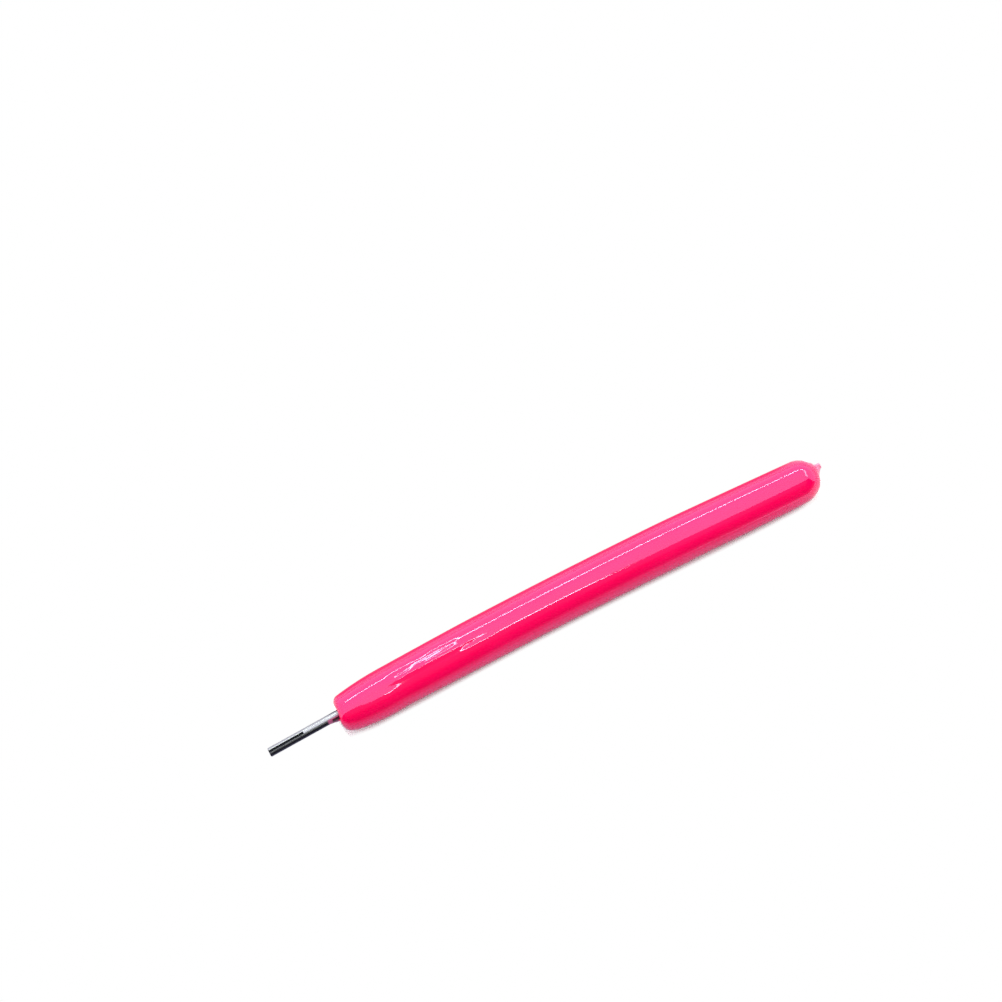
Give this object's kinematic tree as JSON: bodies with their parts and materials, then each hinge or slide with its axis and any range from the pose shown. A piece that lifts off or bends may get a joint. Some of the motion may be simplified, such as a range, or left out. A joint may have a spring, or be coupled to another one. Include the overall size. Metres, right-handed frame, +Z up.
{
  "type": "slotted quilling tool",
  "caption": "Slim pen-shaped plastic handle with a domed tail and a steel needle moulded into its nose; the needle's tip is slit to grip and wind a paper strip.",
  "frame": {"origin": "on the table under the middle of the tool's length, gate stub included, with the tool lying on its barrel", "axes": "+X along the tool from the needle tip to the domed tail, +Z up from the table; the slit's plane stands upright, so it faces +Z and -Z"},
  "size_m": [0.105, 0.0082, 0.0082],
  "materials": {
    "handle_plastic": "glossy injection-moulded plastic, hot pink",
    "needle_steel": "drawn and polished steel wire"
  },
  "bodies": {
    "root": {"handle": "handle_plastic", "slotted_needle": "needle_steel"}
  },
  "joints": []
}
